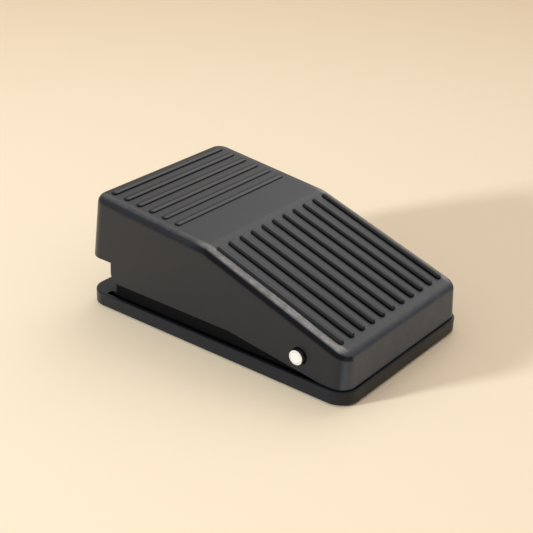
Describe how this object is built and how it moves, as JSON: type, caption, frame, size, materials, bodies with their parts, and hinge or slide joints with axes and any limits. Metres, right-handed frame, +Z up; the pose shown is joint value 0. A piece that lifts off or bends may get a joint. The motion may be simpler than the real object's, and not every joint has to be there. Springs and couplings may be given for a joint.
{
  "type": "industrial foot switch",
  "caption": "Compact foot switch with a hinged, ribbed treadle over a flat base; a return spring and a snap-action switch sit inside.",
  "frame": {"origin": "on the floor under the middle of the base", "axes": "+X across, to the right of someone standing at the heel and facing the toe; +Y from the heel to the toe; +Z up"},
  "size_m": [0.0674, 0.1044, 0.0393],
  "materials": {
    "base_plastic": "fine-grained moulded dark grey plastic",
    "treadle_plastic": "fine-grained moulded dark grey plastic with a low sheen",
    "pin_steel": "bright turned steel",
    "spring_steel": "drawn spring wire",
    "foot_rubber": "matte black rubber",
    "case_plastic": "black moulded thermoset",
    "cover_plastic": "dark moulded thermoset",
    "plunger_plastic": "smooth red plastic",
    "lever_steel": "stamped stainless strip",
    "blade_bronze": "rolled spring bronze",
    "contact_silver": "silver contact",
    "terminal_brass": "stamped brass",
    "fastener_steel": "zinc-plated steel"
  },
  "bodies": {
    "base": {"base": "base_plastic", "pivot_pin": "pin_steel", "return_spring": "spring_steel", "foot_heel_left": "foot_rubber", "foot_heel_right": "foot_rubber", "foot_toe_left": "foot_rubber", "foot_toe_right": "foot_rubber", "switch_case": "case_plastic", "switch_cover": "cover_plastic", "common_terminal": "terminal_brass", "normally_open_terminal": "terminal_brass", "normally_closed_terminal": "terminal_brass", "normally_open_contact": "contact_silver", "normally_closed_contact": "contact_silver", "switch_screws": "fastener_steel", "switch_nuts": "fastener_steel"},
    "treadle": {"treadle": "treadle_plastic"},
    "lever": {"switch_lever": "lever_steel"},
    "plunger": {"switch_plunger": "plunger_plastic"},
    "blade": {"snap_blade": "blade_bronze", "moving_contact": "contact_silver"}
  },
  "joints": [
    {"name": "treadle_hinge", "type": "hinge", "parent": "base", "child": "treadle", "pos_m": [0, -0.034, 0.0116], "axis": [-1, 0, 0], "range_deg": [0, 3.5], "stiffness_Nm_per_rad": 2.82, "springref_deg": -8.71, "deforming": ["return_spring"]},
    {"name": "lever_hinge", "type": "hinge", "parent": "base", "child": "lever", "pos_m": [0, 0.0075, 0.028], "axis": [-1, 0, 0], "range_deg": [0, 9.5]},
    {"name": "plunger_slide", "type": "slide", "parent": "base", "child": "plunger", "axis": [0, 0, -1], "range_m": [0, 0.00121]},
    {"name": "blade_hinge", "type": "hinge", "parent": "base", "child": "blade", "pos_m": [0, 0.03, 0.0191], "axis": [1, 0, 0], "range_deg": [0, 4.5]}
  ],
  "couplings": [
    {"joint": "lever_hinge", "follows": "treadle_hinge", "ratio": 2.7082},
    {"joint": "plunger_slide", "follows": "treadle_hinge", "m_per_rad": 0.019615},
    {"joint": "blade_hinge", "follows": "treadle_hinge", "ratio": 1.2794}
  ]
}
